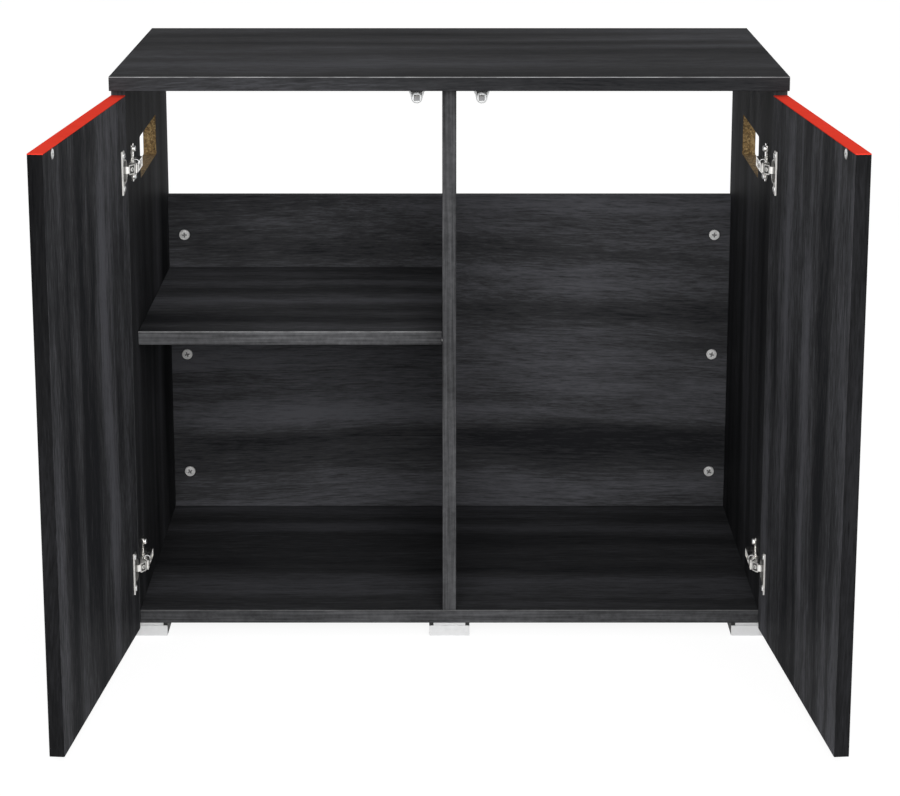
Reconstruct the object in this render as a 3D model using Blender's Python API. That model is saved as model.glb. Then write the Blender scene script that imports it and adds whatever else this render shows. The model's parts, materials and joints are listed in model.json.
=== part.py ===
"""Aquarium stand cabinet: a board carcass with a divider, a half shelf and two doors on concealed hinges.

Metres, +Z up, +Y towards the back. The doors stand open. Pieces are modelled where they are with the doors
closed, and the empties at the hinge pins then turn them open.
"""

import math

import bmesh
import bpy
from mathutils import Matrix, Vector

# Carcass. Y is counted from the top's front edge until the whole cabinet is centred at the end.
WIDTH = 0.760
DEPTH = 0.430
BOARD = 0.016
SIDE_HEIGHT = 0.635
FRONT_SETBACK = 0.018  # from the top's front edge to the front edges of the boards under it
BACK_HEIGHT = 0.420
SHELF_RISE = 0.310  # from the bottom board's upper face to the shelf's underside
SHELF_SETBACK = 0.048
SHELF_PLAY = 0.001
FIT = 0.0003  # gap between pieces that touch

# Cable and hose cutout in each side.
CUTOUT_LENGTH = 0.165
CUTOUT_HEIGHT = 0.050
CUTOUT_BACK = 0.126  # from the carcass's rear to the cutout
CUTOUT_DROP = 0.075  # from the underside of the top to the cutout
CUTOUT_CORNER = 0.004

# Cams that hold the back board to the sides.
CAM_RADIUS = 0.0072
CAM_LENGTH = 0.0120
CAM_INSET = 0.0205
CAM_FIRST = 0.048
CAM_PITCH = 0.160
CAM_ROWS = 3

# Shelf pins.
PIN_RADIUS = 0.0025
PIN_IN_BOARD = 0.008
PIN_OUT = 0.008
PIN_INSET = 0.037  # from the shelf's front and rear edges

# Feet: a black plastic block with a silver cover on its front.
FOOT_WIDTH = 0.0475
FOOT_DEPTH = 0.050
FOOT_HEIGHT = 0.016
COVER_WALL = 0.0015
COVER_HEIGHT = 0.0124
LIP_WIDTH = 0.0376
LIP_RECESS = 0.0025

# Doors.
DOOR_GAP_ABOVE = 0.0065
DOOR_DROP = 0.0045  # how far the doors reach below the bottom board
DOOR_REVEAL = 0.0015  # each door's edges stand this far inside its half of the front
DOOR_CLEARANCE = 0.0015  # between the closed doors and the carcass
BAND_WALL = 0.0010
REST_TURN = math.radians(95.2)

# Hinges: a cup in the door, an arm on the side, and a link on a pin at each of them.
HINGE_FROM_TOP = 0.0840  # from the door's top edge to the upper hinge
HINGE_FROM_BOTTOM = 0.0770
CUP_RADIUS = 0.013
CUP_WALL = 0.0008
CUP_DEPTH = 0.0113
CUP_EDGE = 0.0028  # from the door's edge to the cup's bore
FLANGE_WALL = 0.0008
FLANGE_RADIUS = 0.0140
FLANGE_HEIGHT = 0.0496
FLANGE_LOBE = 0.0110
HINGE_SCREW_PITCH = 0.038
HINGE_SCREW_OFFSET = 0.006
CUP_PIN_EDGE = 0.0066
CUP_PIN_DEPTH = 0.0040
ARM_PIN_STAND = 0.0100  # from the side's inner face to the arm's pin
PIN_WIRE = 0.0008
LINK_SHARE = 0.25  # the link turns back by this share of the door's turn
LINK_WALL = 0.0012
LINK_WIDTH = 0.0110
LINK_NECK = 0.0080
LINK_BULGE = 0.0050
EYE_RADIUS = 0.0018
ARM_WIDTH = 0.0110
ARM_LENGTH = 0.048
ARM_HEIGHT = 0.0067
ARM_TIP = 0.0020
FORK_DEPTH = 0.0060
PLATE_STAND = 0.0042
PLATE_WIDTH = 0.0104
PLATE_LENGTH = 0.0400
WING_FRONT = 0.037  # from the carcass's front to the wing's two screws
WING_WIDTH = 0.0110
WING_WALL = 0.0020
WING_PITCH = 0.032
WING_SPAN = 0.044
SCREW_RADIUS = 0.0035
SCREW_HEAD = 0.0014

# Magnetic catches under the top, and the steel discs on the doors that they hold.
CATCH_OUT = 0.0365  # from the cabinet's middle
CATCH_DROP = 0.0105
CATCH_RADIUS = 0.0063
CATCH_LENGTH = 0.0130
CATCH_FLANGE = 0.0198
CATCH_FOOT = 0.0240
CATCH_FOOT_WALL = 0.0016
CATCH_GAP = 0.0004  # between the closed door's disc and the magnet
MAGNET = 0.0058
MAGNET_LENGTH = 0.0110
MAGNET_PROUD = 0.0008
DISC_RADIUS = 0.0050
DISC_WALL = 0.0010
DISC_OUT = 0.0380
DISC_LOWER = 0.0025  # the disc's centre is this far below the catch's

# Places worked out from the sizes above.
HALF = WIDTH / 2
INNER = HALF - BOARD
FLOOR = FOOT_HEIGHT + BOARD
UNDER_TOP = FOOT_HEIGHT + SIDE_HEIGHT
HEIGHT = UNDER_TOP + BOARD
FRONT = FRONT_SETBACK
BACK_FACE = DEPTH - BOARD
DOOR_LOW = FOOT_HEIGHT - DOOR_DROP
DOOR_HIGH = UNDER_TOP - DOOR_GAP_ABOVE
DOOR_BACK = FRONT - DOOR_CLEARANCE
DOOR_FACE = DOOR_BACK - BOARD
DOOR_OUT = HALF - DOOR_REVEAL
CUP_OUT = DOOR_OUT - CUP_EDGE - CUP_RADIUS
ARM_PIN = Vector((INNER - ARM_PIN_STAND, FRONT, 0))
CUP_PIN = Vector((DOOR_OUT - CUP_PIN_EDGE, DOOR_BACK - CUP_PIN_DEPTH, 0))
SIDES = {"left": -1, "right": 1}
HINGES = {"upper": DOOR_HIGH - HINGE_FROM_TOP, "lower": DOOR_LOW + HINGE_FROM_BOTTOM}


def clear_scene():
    for thing in list(bpy.data.objects):
        bpy.data.objects.remove(thing, do_unlink=True)


def finish(name, colour, roughness, metallic=0.0):
    """A plain material of one colour."""
    material = bpy.data.materials.new(name)
    material.use_nodes = True
    shader = material.node_tree.nodes["Principled BSDF"]
    shader.inputs["Base Color"].default_value = (*colour, 1.0)
    shader.inputs["Roughness"].default_value = roughness
    shader.inputs["Metallic"].default_value = metallic
    material.diffuse_color = (*colour, 1.0)
    return material


def empty(name, parent=None, location=(0, 0, 0), turn=0.0):
    guide = bpy.data.objects.new(name, None)
    bpy.context.scene.collection.objects.link(guide)
    guide.parent = parent
    guide.location = location
    guide.rotation_euler.z = turn
    return guide


class Carrier:
    """An empty that pieces are parented to, and the place of its origin with the doors closed."""

    def __init__(self, guide, origin=(0, 0, 0)):
        self.guide = guide
        self.origin = Vector(origin)


def place(name, mesh, carrier, material=None):
    """One object on its carrier. A piece has a material, and a tool for cutting or joining has none."""
    bmesh.ops.recalc_face_normals(mesh, faces=mesh.faces)
    bmesh.ops.translate(mesh, verts=mesh.verts, vec=-carrier.origin)
    data = bpy.data.meshes.new(name)
    mesh.to_mesh(data)
    mesh.free()
    piece = bpy.data.objects.new(name, data)
    bpy.context.scene.collection.objects.link(piece)
    piece.parent = carrier.guide
    if material:
        data.materials.append(material)
        data.shade_smooth()
        data.set_sharp_from_angle(angle=math.radians(35))
    else:
        piece.hide_render = True
        piece.display_type = "WIRE"
    return piece


def change(piece, operation, meshes, carrier):
    """Cuts the meshes from a piece, or joins them to it, one exact Boolean each."""
    for mesh in meshes:
        step = piece.modifiers.new(operation.lower(), "BOOLEAN")
        step.operation = operation
        step.solver = "EXACT"
        step.object = place(f"{piece.name}_{operation.lower()}", mesh, carrier)


def block(low, high):
    """A box between two corners."""
    low, high = Vector(low), Vector(high)
    mesh = bmesh.new()
    size = Matrix.Diagonal((*(high - low), 1.0))
    bmesh.ops.create_cube(mesh, size=1.0, matrix=Matrix.Translation((low + high) / 2) @ size)
    return mesh


def across(side, near, far, low, high):
    """A box from near to far outwards from the middle, on one side. low and high are its (y, z) corners."""
    edges = sorted((side * near, side * far))
    return block((edges[0], *low), (edges[1], *high))


def rod(start, end, radius, segments=24):
    """A cylinder between two points."""
    start, end = Vector(start), Vector(end)
    mesh = bmesh.new()
    turn = (end - start).to_track_quat("Z", "Y").to_matrix().to_4x4()
    bmesh.ops.create_cone(
        mesh,
        cap_ends=True,
        segments=segments,
        radius1=radius,
        radius2=radius,
        depth=(end - start).length,
        matrix=Matrix.Translation((start + end) / 2) @ turn,
    )
    return mesh


def prism(outline, low, high, axis):
    """An outline of points in the plane across an axis, drawn out along it from low to high."""
    mesh = bmesh.new()
    corners = []
    for first, second in outline:
        point = [first, second]
        point.insert("XYZ".index(axis), low)
        corners.append(mesh.verts.new(point))
    face = mesh.faces.new(corners)
    moved = bmesh.ops.extrude_face_region(mesh, geom=[face])["geom"]
    along = Vector([high - low if letter == axis else 0.0 for letter in "XYZ"])
    bmesh.ops.translate(mesh, verts=[v for v in moved if isinstance(v, bmesh.types.BMVert)], vec=along)
    return mesh


def arc(centre, radius, start, end, steps):
    """Points on an arc, with its angles in degrees."""
    angles = [math.radians(start + (end - start) * n / steps) for n in range(steps + 1)]
    return [(centre[0] + radius * math.cos(a), centre[1] + radius * math.sin(a)) for a in angles]


def rounded(low, high, radius, steps=4):
    """The outline of a rectangle with round corners."""
    (x0, y0), (x1, y1) = low, high
    corners = ((x1, y1, 0), (x0, y1, 90), (x0, y0, 180), (x1, y0, 270))
    points = []
    for x, y, start in corners:
        centre = (x - math.copysign(radius, x - x0 - radius), y - math.copysign(radius, y - y0 - radius))
        points += arc(centre, radius, start, start + 90, steps)
    return points


def mirrored(outline, side):
    """An outline drawn outwards from the middle, set on one side."""
    return [(side * out, other) for out, other in outline]


def make_panels(cabinet, laminate):
    """The boards of the carcass, and the shelf."""
    shelf_low = FLOOR + SHELF_RISE
    divider_top = UNDER_TOP - FIT
    boards = {
        "top_panel": block((-HALF, 0, UNDER_TOP), (HALF, DEPTH, HEIGHT)),
        "bottom_panel": block((-INNER + FIT, FRONT, FOOT_HEIGHT), (INNER - FIT, DEPTH, FLOOR)),
        "divider_panel": block((-BOARD / 2, FRONT, FLOOR + FIT), (BOARD / 2, BACK_FACE - FIT, divider_top)),
        "back_panel": block((-INNER + FIT, BACK_FACE, FLOOR + FIT), (INNER - FIT, DEPTH, FLOOR + BACK_HEIGHT)),
        "shelf": block(
            (-INNER + SHELF_PLAY, FRONT + SHELF_SETBACK, shelf_low),
            (-BOARD / 2 - SHELF_PLAY, BACK_FACE - SHELF_PLAY, shelf_low + BOARD),
        ),
    }
    for side_name, side in SIDES.items():
        low, high = (FRONT, FOOT_HEIGHT), (DEPTH, UNDER_TOP - FIT)
        boards[f"{side_name}_side_panel"] = across(side, INNER, HALF, low, high)
    panels = {name: place(name, mesh, cabinet, laminate) for name, mesh in boards.items()}
    rear = DEPTH - CUTOUT_BACK
    upper = UNDER_TOP - CUTOUT_DROP
    outline = rounded((rear - CUTOUT_LENGTH, upper - CUTOUT_HEIGHT), (rear, upper), CUTOUT_CORNER)
    for side_name, side in SIDES.items():
        ends = sorted((side * (INNER - BOARD), side * (HALF + BOARD)))
        change(panels[f"{side_name}_side_panel"], "DIFFERENCE", [prism(outline, *ends, "X")], cabinet)
    return panels


def make_cams(cabinet, panels, zinc):
    """Two columns of cams in bores in the front of the back board."""
    for side_name, side in SIDES.items():
        for row in range(CAM_ROWS):
            out, z = side * (INNER - CAM_INSET), FLOOR + CAM_FIRST + CAM_PITCH * row
            start, end = (out, BACK_FACE, z), (out, BACK_FACE + CAM_LENGTH, z)
            place(f"{side_name}_back_cam_{row + 1}", rod(start, end, CAM_RADIUS), cabinet, zinc)
            bore = rod((out, BACK_FACE - BOARD, z), (out, BACK_FACE + CAM_LENGTH + FIT, z), CAM_RADIUS + FIT)
            change(panels["back_panel"], "DIFFERENCE", [bore], cabinet)


def make_shelf_pins(cabinet, panels, steel):
    """Four pins in bores in the left side and the divider, just under the shelf."""
    z = FLOOR + SHELF_RISE - FIT - PIN_RADIUS
    rows = {
        "front": FRONT + SHELF_SETBACK + PIN_INSET,
        "rear": BACK_FACE - SHELF_PLAY - PIN_INSET,
    }
    walls = {"outer": ("left_side_panel", -INNER, -1), "inner": ("divider_panel", -BOARD / 2, 1)}
    for row, y in rows.items():
        for end, (board, face, inwards) in walls.items():
            tip, foot = face - inwards * PIN_OUT, face + inwards * PIN_IN_BOARD
            pin = rod((tip, y, z), (foot, y, z), PIN_RADIUS, 16)
            place(f"shelf_pin_{row}_{end}", pin, cabinet, steel)
            bore = rod((tip, y, z), (foot + inwards * FIT, y, z), PIN_RADIUS + FIT, 16)
            change(panels[board], "DIFFERENCE", [bore], cabinet)


def make_foot(name, middle, front, cabinet, plastic, silver):
    """A foot: its cover is a plate across the front with a narrower lip that steps back over the block."""
    half, lip = FOOT_WIDTH / 2, LIP_WIDTH / 2
    top = FOOT_HEIGHT - FIT
    low, high = (middle - half, front, 0), (middle + half, front + COVER_WALL, COVER_HEIGHT)
    cover = place(f"{name}_cover", block(low, high), cabinet, silver)
    inner, back = front + LIP_RECESS, front + LIP_RECESS + COVER_WALL
    step = COVER_HEIGHT - COVER_WALL
    outline = [
        (front + COVER_WALL / 2, step),
        (back, step),
        (back, top),
        (inner, top),
        (inner, COVER_HEIGHT - FIT),
        (front + COVER_WALL / 2, COVER_HEIGHT - FIT),
    ]
    change(cover, "UNION", [prism(outline, middle - lip, middle + lip, "X")], cabinet)
    body = block(
        (middle - half, front + COVER_WALL + FIT, 0),
        (middle + half, front + FOOT_DEPTH, top),
    )
    foot = place(f"{name}_block", body, cabinet, plastic)
    notch = block(
        (middle - lip - FIT, front - FIT, step - FIT),
        (middle + lip + FIT, back + FIT, FOOT_HEIGHT + FIT),
    )
    change(foot, "DIFFERENCE", [notch], cabinet)


def make_feet(cabinet, plastic, silver):
    """Three feet under the front edge and three under the rear."""
    outer = HALF - FOOT_WIDTH / 2
    for row, front in {"front": FRONT, "rear": DEPTH - FOOT_DEPTH}.items():
        for place_name, middle in {"left": -outer, "middle": 0.0, "right": outer}.items():
            make_foot(f"foot_{row}_{place_name}", middle, front, cabinet, plastic, silver)


def make_catch(side_name, side, cabinet, door, white, steel):
    """A magnet in a round housing that hangs from the top, and the disc on the door that it holds."""
    middle, z = side * CATCH_OUT, UNDER_TOP - CATCH_DROP
    front = DOOR_BACK + FIT + DISC_WALL + CATCH_GAP + MAGNET_PROUD
    back, top = front + CATCH_LENGTH, UNDER_TOP - FIT
    half = CATCH_FLANGE / 2
    # The gusset's slanting edges touch the round housing at this angle above its middle.
    reach = math.hypot(half, top - z)
    tangent = math.degrees(math.atan2(top - z, half) - math.acos(CATCH_RADIUS / reach))
    low_arc = arc((middle, z), CATCH_RADIUS, tangent, -180 - tangent, 24)
    outline = [(middle - half, top), (middle + half, top), *low_arc]
    housing = place(f"{side_name}_catch_housing", prism(outline, front, back, "Y"), cabinet, white)
    foot_low = (middle - half, back - COVER_WALL, top - CATCH_FOOT_WALL)
    foot = block(foot_low, (middle + half, front + CATCH_FOOT, top))
    change(housing, "UNION", [foot], cabinet)
    grip, room = MAGNET / 2, MAGNET / 2 + FIT
    start = front - MAGNET_PROUD
    end = start + MAGNET_LENGTH
    pocket = block((middle - room, front - BOARD, z - room), (middle + room, end + FIT, z + room))
    change(housing, "DIFFERENCE", [pocket], cabinet)
    magnet = block((middle - grip, start, z - grip), (middle + grip, end, z + grip))
    place(f"{side_name}_catch_magnet", magnet, cabinet, steel)
    centre = Vector((side * DISC_OUT, DOOR_BACK + FIT, z - DISC_LOWER))
    disc = rod(centre, centre + Vector((0, DISC_WALL, 0)), DISC_RADIUS)
    place(f"{side_name}_catch_disc", disc, door, steel)


def make_door(side_name, side, door, laminate, red):
    """A door board with two blind bores for its hinge cups, and the band along its top edge."""
    near = DOOR_REVEAL
    board_top = DOOR_HIGH - BAND_WALL - FIT
    mesh = across(side, near, DOOR_OUT, (DOOR_FACE, DOOR_LOW), (DOOR_BACK, board_top))
    board = place(f"{side_name}_door", mesh, door, laminate)
    for z in HINGES.values():
        start = (side * CUP_OUT, DOOR_BACK + BOARD, z)
        end = (side * CUP_OUT, DOOR_BACK - CUP_DEPTH - FIT, z)
        change(board, "DIFFERENCE", [rod(start, end, CUP_RADIUS + FIT, 32)], door)
    band = across(side, near, DOOR_OUT, (DOOR_FACE, DOOR_HIGH - BAND_WALL), (DOOR_BACK, DOOR_HIGH))
    place(f"{side_name}_door_band", band, door, red)


def make_cup(name, side, z, door, nickel):
    """The hinge cup: an open bowl with a flange that two screws would hold to the door."""
    out, face = side * CUP_OUT, DOOR_BACK + FIT
    top = face + FLANGE_WALL
    bowl = rod((out, DOOR_BACK - CUP_DEPTH, z), (out, top - FLANGE_WALL / 2, z), CUP_RADIUS, 32)
    cup = place(f"{name}_cup", bowl, door, nickel)
    plate = rod((out, face, z), (out, top, z), FLANGE_RADIUS, 32)
    middle, half = CUP_OUT - HINGE_SCREW_OFFSET, FLANGE_HEIGHT / 2
    low, high = (middle - FLANGE_LOBE / 2, z - half), (middle + FLANGE_LOBE / 2, z + half)
    lobes = prism(mirrored(rounded(low, high, FLANGE_LOBE / 3), side), face, top, "Y")
    heads = []
    for end in (-1, 1):
        screw = Vector((side * middle, face, z + end * HINGE_SCREW_PITCH / 2))
        heads.append(rod(screw, screw + Vector((0, FLANGE_WALL + SCREW_HEAD / 4, 0)), SCREW_RADIUS, 20))
    change(cup, "UNION", [plate, lobes, *heads], door)
    # The hollow narrows to a bay for the link's eye, and the shoulders beside the bay carry the pin.
    inside, bay = CUP_RADIUS - CUP_WALL, LINK_NECK / 2 + FIT
    edge = CUP_PIN.x - CUP_OUT - EYE_RADIUS
    wide = math.degrees(math.acos(edge / inside))
    narrow = math.degrees(math.asin(bay / inside))
    hollow = [
        *arc((0, 0), inside, wide, 360 - wide, 28),
        (edge, -bay),
        *arc((0, 0), inside, -narrow, narrow, 4),
        (edge, bay),
    ]
    outline = [(side * (CUP_OUT + across_door), z + up) for across_door, up in hollow]
    low, high = DOOR_BACK - CUP_DEPTH + CUP_WALL, top + BOARD
    change(cup, "DIFFERENCE", [prism(outline, low, high, "Y")], door)
    pin_x, pin_y = side * CUP_PIN.x, CUP_PIN.y
    wire = ARM_WIDTH / 2
    hole = rod((pin_x, pin_y, z - wire - FIT), (pin_x, pin_y, z + wire + FIT), PIN_WIRE + FIT, 16)
    change(cup, "DIFFERENCE", [hole], door)
    pin = rod((pin_x, pin_y, z - wire), (pin_x, pin_y, z + wire), PIN_WIRE, 16)
    place(f"{name}_cup_pin", pin, door, nickel)


def link_outline(start, end, wall, bulge, first, last):
    """The side view of a bowed strip between two pins, from one share of its length to another."""
    along = end - start
    square = Vector((-along.y, along.x)).normalized()
    steps = 12
    near, far = [], []
    for n in range(steps + 1):
        share = first + (last - first) * n / steps
        # The bow rises steeply at the cup's pin and comes down gently to the arm's.
        rise = bulge * math.sin(math.pi * share**0.6)
        slope = (end - start).normalized()
        middle = start + along * share + square * rise
        tilt = bulge * math.pi * 0.6 * max(share, 0.02) ** -0.4 * math.cos(math.pi * share**0.6)
        normal = (square * along.length - slope * tilt).normalized()
        near.append(tuple(middle - normal * wall / 2))
        far.append(tuple(middle + normal * wall / 2))
    return near + far[::-1]


def make_link(name, side, z, links, nickel):
    """The link: a bowed plate, narrowed to an eye at the cup's pin and at the arm's."""
    start, end = CUP_PIN.to_2d(), ARM_PIN.to_2d()
    neck, half = LINK_NECK / 2, LINK_WIDTH / 2
    strip = mirrored(link_outline(start, end, LINK_WALL, LINK_BULGE, 0.0, 1.0), side)
    link = place(f"{name}_link", prism(strip, z - neck, z + neck, "Z"), links, nickel)
    wide = mirrored(link_outline(start, end, LINK_WALL * 1.02, LINK_BULGE, 0.30, 0.80), side)
    parts = [prism(wide, z - half, z + half, "Z")]
    holes = []
    for pin in (CUP_PIN, ARM_PIN):
        x, y = side * pin.x, pin.y
        parts.append(rod((x, y, z - neck), (x, y, z + neck), EYE_RADIUS, 20))
        holes.append(rod((x, y, z - half), (x, y, z + half), PIN_WIRE + FIT, 16))
    change(link, "UNION", parts, links)
    change(link, "DIFFERENCE", holes, links)


def make_arm(name, side, z, cabinet, nickel):
    """The arm: a bar forked at its tip, where its pin carries the link."""
    half = ARM_WIDTH / 2
    low = INNER - FIT - PLATE_STAND - FIT
    high = low - ARM_HEIGHT
    tip = (ARM_PIN.x, ARM_PIN.y)
    rear = FRONT + ARM_LENGTH
    outline = [
        *arc(tip, ARM_TIP, 180, 350, 10),
        (low, FRONT + FORK_DEPTH),
        (low, rear),
        (high, rear),
        (high, FRONT + FORK_DEPTH),
    ]
    arm = place(f"{name}_arm", prism(mirrored(outline, side), z - half, z + half, "Z"), cabinet, nickel)
    slot = LINK_NECK / 2 + FIT
    ends = sorted((side * (high - ARM_HEIGHT), side * (low + ARM_HEIGHT)))
    fork = block((ends[0], FRONT - BOARD, z - slot), (ends[1], FRONT + FORK_DEPTH - FIT, z + slot))
    change(arm, "DIFFERENCE", [fork], cabinet)
    pin = rod((side * tip[0], tip[1], z - half), (side * tip[0], tip[1], z + half), PIN_WIRE, 16)
    change(arm, "UNION", [pin], cabinet)


def make_mounting_plate(name, side, z, cabinet, nickel):
    """The plate on the side board: a bar under the arm, with a wing and a screw above and below it."""
    wall = INNER - FIT
    front = FRONT + ARM_LENGTH - PLATE_LENGTH
    half = PLATE_WIDTH / 2
    bar = across(side, wall - PLATE_STAND, wall, (front, z - half), (front + PLATE_LENGTH, z + half))
    plate = place(f"{name}_mounting_plate", bar, cabinet, nickel)
    middle = FRONT + WING_FRONT
    low, high = (middle - WING_WIDTH / 2, z - WING_SPAN / 2), (middle + WING_WIDTH / 2, z + WING_SPAN / 2)
    ends = sorted((side * (wall - WING_WALL), side * wall))
    parts = [prism(rounded(low, high, WING_WIDTH / 3), *ends, "X")]
    for end in (-1, 1):
        screw = Vector((side * (wall - WING_WALL / 2), middle, z + end * WING_PITCH / 2))
        head = Vector((-side * (WING_WALL / 2 + SCREW_HEAD), 0, 0))
        parts.append(rod(screw, screw + head, SCREW_RADIUS, 20))
    change(plate, "UNION", parts, cabinet)


def door_matrix(side, turn):
    """What moves a closed door to where it is when it has turned open."""
    arm_pin = Matrix.Translation((side * ARM_PIN.x, ARM_PIN.y, 0))
    between = Matrix.Translation((side * (CUP_PIN.x - ARM_PIN.x), CUP_PIN.y - ARM_PIN.y, 0))
    back = Matrix.Translation((-side * CUP_PIN.x, -CUP_PIN.y, 0))
    link_turn = Matrix.Rotation(-side * LINK_SHARE * turn, 4, "Z")
    door_turn = Matrix.Rotation(side * (1 + LINK_SHARE) * turn, 4, "Z")
    return arm_pin @ link_turn @ between @ door_turn @ back


def front_reach():
    """The foremost y that an open door reaches."""
    corners = [Vector((out, y, 0)) for out in (DOOR_REVEAL, DOOR_OUT) for y in (DOOR_FACE, DOOR_BACK)]
    return min((door_matrix(1, REST_TURN) @ corner).y for corner in corners)


def main():
    clear_scene()
    laminate = finish("black_wood_laminate", (0.030, 0.031, 0.034), 0.45)
    red = finish("red_edge_band", (0.80, 0.045, 0.030), 0.35)
    plastic = finish("black_plastic", (0.012, 0.012, 0.013), 0.50)
    silver = finish("silver_foot_cover", (0.62, 0.62, 0.61), 0.38, 0.60)
    nickel = finish("nickel_plated_steel", (0.66, 0.64, 0.61), 0.24, 1.0)
    zinc = finish("zinc_alloy_cam", (0.70, 0.69, 0.67), 0.35, 0.85)
    steel = finish("zinc_plated_steel", (0.55, 0.55, 0.56), 0.30, 1.0)
    white = finish("milky_plastic", (0.86, 0.87, 0.86), 0.35)

    middle = (DEPTH + front_reach()) / 2
    cabinet = Carrier(empty("cabinet", location=(0, -middle, 0)))
    panels = make_panels(cabinet, laminate)
    make_cams(cabinet, panels, zinc)
    make_shelf_pins(cabinet, panels, steel)
    make_feet(cabinet, plastic, silver)
    for side_name, side in SIDES.items():
        arm_pin = Vector((side * ARM_PIN.x, ARM_PIN.y, 0))
        cup_pin = Vector((side * CUP_PIN.x, CUP_PIN.y, 0))
        link_turn = -side * LINK_SHARE * REST_TURN
        door_turn = side * (1 + LINK_SHARE) * REST_TURN
        links_guide = empty(f"{side_name}_links", cabinet.guide, arm_pin, link_turn)
        door_guide = empty(f"{side_name}_door_swing", links_guide, cup_pin - arm_pin, door_turn)
        links, door = Carrier(links_guide, arm_pin), Carrier(door_guide, cup_pin)
        make_door(side_name, side, door, laminate, red)
        make_catch(side_name, side, cabinet, door, white, steel)
        for height_name, z in HINGES.items():
            name = f"{side_name}_{height_name}_hinge"
            make_cup(name, side, z, door, nickel)
            make_link(name, side, z, links, nickel)
            make_arm(name, side, z, cabinet, nickel)
            make_mounting_plate(name, side, z, cabinet, nickel)


main()
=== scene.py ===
"""Aquarium stand cabinet: black boards, two doors standing open on concealed hinges, magnetic catches and low feet.

Metres, +Z up, +Y towards the back. Every piece takes its place from the loaded frame.
"""

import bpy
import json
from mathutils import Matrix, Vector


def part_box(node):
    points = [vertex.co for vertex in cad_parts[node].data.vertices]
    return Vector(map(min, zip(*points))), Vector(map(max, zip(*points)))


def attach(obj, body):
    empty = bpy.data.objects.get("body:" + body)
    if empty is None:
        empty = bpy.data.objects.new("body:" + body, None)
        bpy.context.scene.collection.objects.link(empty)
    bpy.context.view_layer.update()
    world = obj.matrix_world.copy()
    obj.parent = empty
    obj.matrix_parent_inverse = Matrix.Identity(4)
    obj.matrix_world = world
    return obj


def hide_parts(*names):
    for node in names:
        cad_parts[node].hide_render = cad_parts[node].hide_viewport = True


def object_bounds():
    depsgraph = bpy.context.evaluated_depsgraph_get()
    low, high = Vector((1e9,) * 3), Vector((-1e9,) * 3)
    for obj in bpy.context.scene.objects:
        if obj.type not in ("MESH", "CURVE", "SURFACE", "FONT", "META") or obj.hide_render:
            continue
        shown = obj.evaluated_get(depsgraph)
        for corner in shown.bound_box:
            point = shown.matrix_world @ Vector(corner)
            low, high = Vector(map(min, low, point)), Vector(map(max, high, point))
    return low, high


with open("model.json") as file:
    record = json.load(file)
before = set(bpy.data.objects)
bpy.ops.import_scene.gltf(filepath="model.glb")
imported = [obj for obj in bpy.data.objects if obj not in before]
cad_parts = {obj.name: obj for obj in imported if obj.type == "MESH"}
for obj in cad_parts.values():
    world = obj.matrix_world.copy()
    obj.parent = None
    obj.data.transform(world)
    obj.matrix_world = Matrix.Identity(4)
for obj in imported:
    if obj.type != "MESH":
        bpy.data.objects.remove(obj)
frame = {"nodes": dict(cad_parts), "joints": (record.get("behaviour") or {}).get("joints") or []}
CAD_BOX = [list(corner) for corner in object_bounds()]

import json
import math

import bmesh
import bpy
from bpy.props import FloatProperty, FloatVectorProperty, PointerProperty
from mathutils import Matrix, Vector

bl_info = {
    "name": "Aquarium stand cabinet",
    "version": (1, 0, 0),
    "blender": (4, 5, 0),
    "location": "3D View > Sidebar > Aquarium stand",
    "description": "Builds a black aquarium stand with open doors, hinges, catches and feet",
    "category": "Add Mesh",
}

SIDES = {"left": -1, "right": 1}
HEIGHTS = ("upper", "lower")
DOOR_TURN = math.radians(95.2)  # how far the doors stand open
CUP_PIN_BELOW_FACE = 0.0040  # from a door's inner face to its hinge's axis
DOOR_SEAT = CUP_PIN_BELOW_FACE + 0.0003  # where fittings sit, just above a door's inner face
CUP_SCREW_FROM_PIN = 0.0152  # from the hinge's axis to the cup's screws, across the door
CUP_SCREW_RISE = 0.0190  # from the cup's middle up or down to each screw
FLANGE_TOP = 0.0011  # from the door's inner face to the top of the cup's flange
DISC_RISE = 0.0010  # how far the disc for the catch stands above the door
DOOR_JOINTS = {j["child"]: Vector(j["pos_m"]) for j in frame["joints"] if j["child"].endswith("_door")}


# ---------------------------------------------------------------- settings


def length(name, description, default):
    return FloatProperty(name=name, description=description, default=default, min=0.0, precision=5, unit="LENGTH")


def share(name, description, default):
    return FloatProperty(name=name, description=description, default=default, min=0.0, max=1.0, subtype="FACTOR")


def colour(name, description, default):
    return FloatVectorProperty(name=name, description=description, default=default, min=0.0, max=1.0, subtype="COLOR")


class BoardSettings(bpy.types.PropertyGroup):
    arris: length("Arris", "Rounding of the boards' long edges", 0.0006)
    # The upper front edges are rounded a little wider; their brightness is a painted highlight, given by the arris
    # finish.
    front_arris: length("Front arris", "Rounding of the upper front edges, which wear bright", 0.0008)
    dark: colour("Dark grain", "Darkest streaks of the black laminate", (0.0105, 0.0108, 0.0120))
    middle: colour("Grain", "Main colour of the black laminate", (0.0275, 0.0278, 0.0296))
    light: colour("Light grain", "Palest streaks of the black laminate", (0.0600, 0.0604, 0.0670))
    # Paler than the laminate: partly the banding's own tone and partly painted light, standing in for the light that
    # falls on the front edges.
    edge: colour("Edge band", "Colour of the banding on the boards' front edges", (0.0750, 0.0755, 0.0790))
    # A painted highlight: the colour of the upper front edges, standing in for the light that they catch from above
    # and in front.
    bright: colour("Bright arris", "Colour of the worn upper front edges", (0.3200, 0.3200, 0.3250))
    chip: colour("Chipboard", "Colour of the raw board in the cutouts", (0.2500, 0.1500, 0.0520))
    chip_fleck: colour("Chipboard flecks", "Palest chips of the raw board", (0.4600, 0.3300, 0.1500))
    gloss: share("Gloss", "How strongly the laminate reflects", 0.003)


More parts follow.
